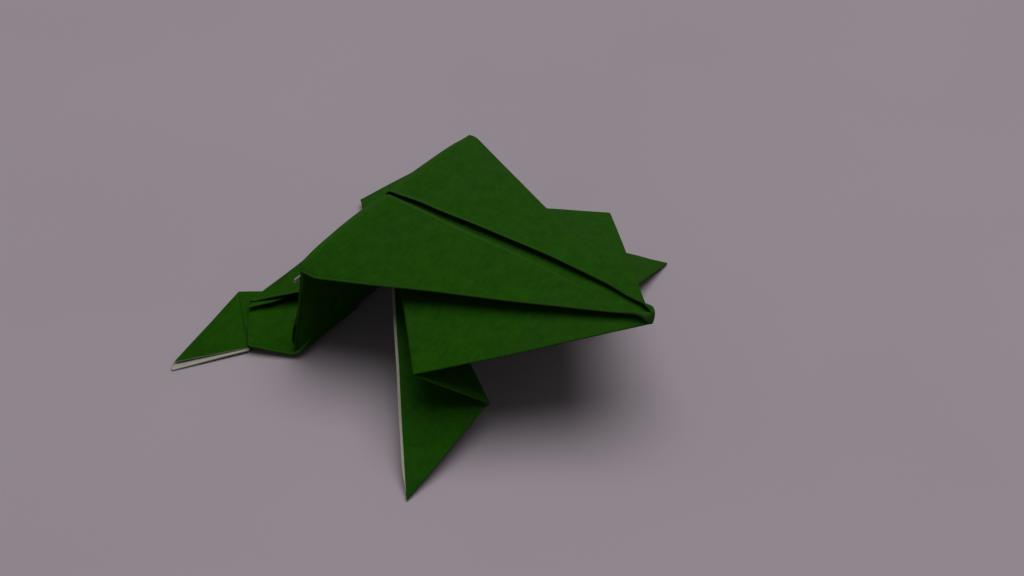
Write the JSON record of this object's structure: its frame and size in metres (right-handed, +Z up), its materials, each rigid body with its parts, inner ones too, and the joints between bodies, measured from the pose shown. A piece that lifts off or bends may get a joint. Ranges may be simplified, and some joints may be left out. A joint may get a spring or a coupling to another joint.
{
  "type": "origami frog",
  "caption": "Folded paper jumping frog with a pointed nose, folded legs and a pleated spring at the rear; it stands on its feet.",
  "frame": {"origin": "on the floor, under the middle of the frog's overall box", "axes": "+X towards the nose, +Y towards the frog's left side, +Z up"},
  "size_m": [0.0526, 0.0534, 0.0186],
  "materials": {
    "folded_paper": "matt coloured paper, white inside"
  },
  "bodies": {
    "root": {"folded_sheet": "folded_paper"}
  },
  "joints": []
}
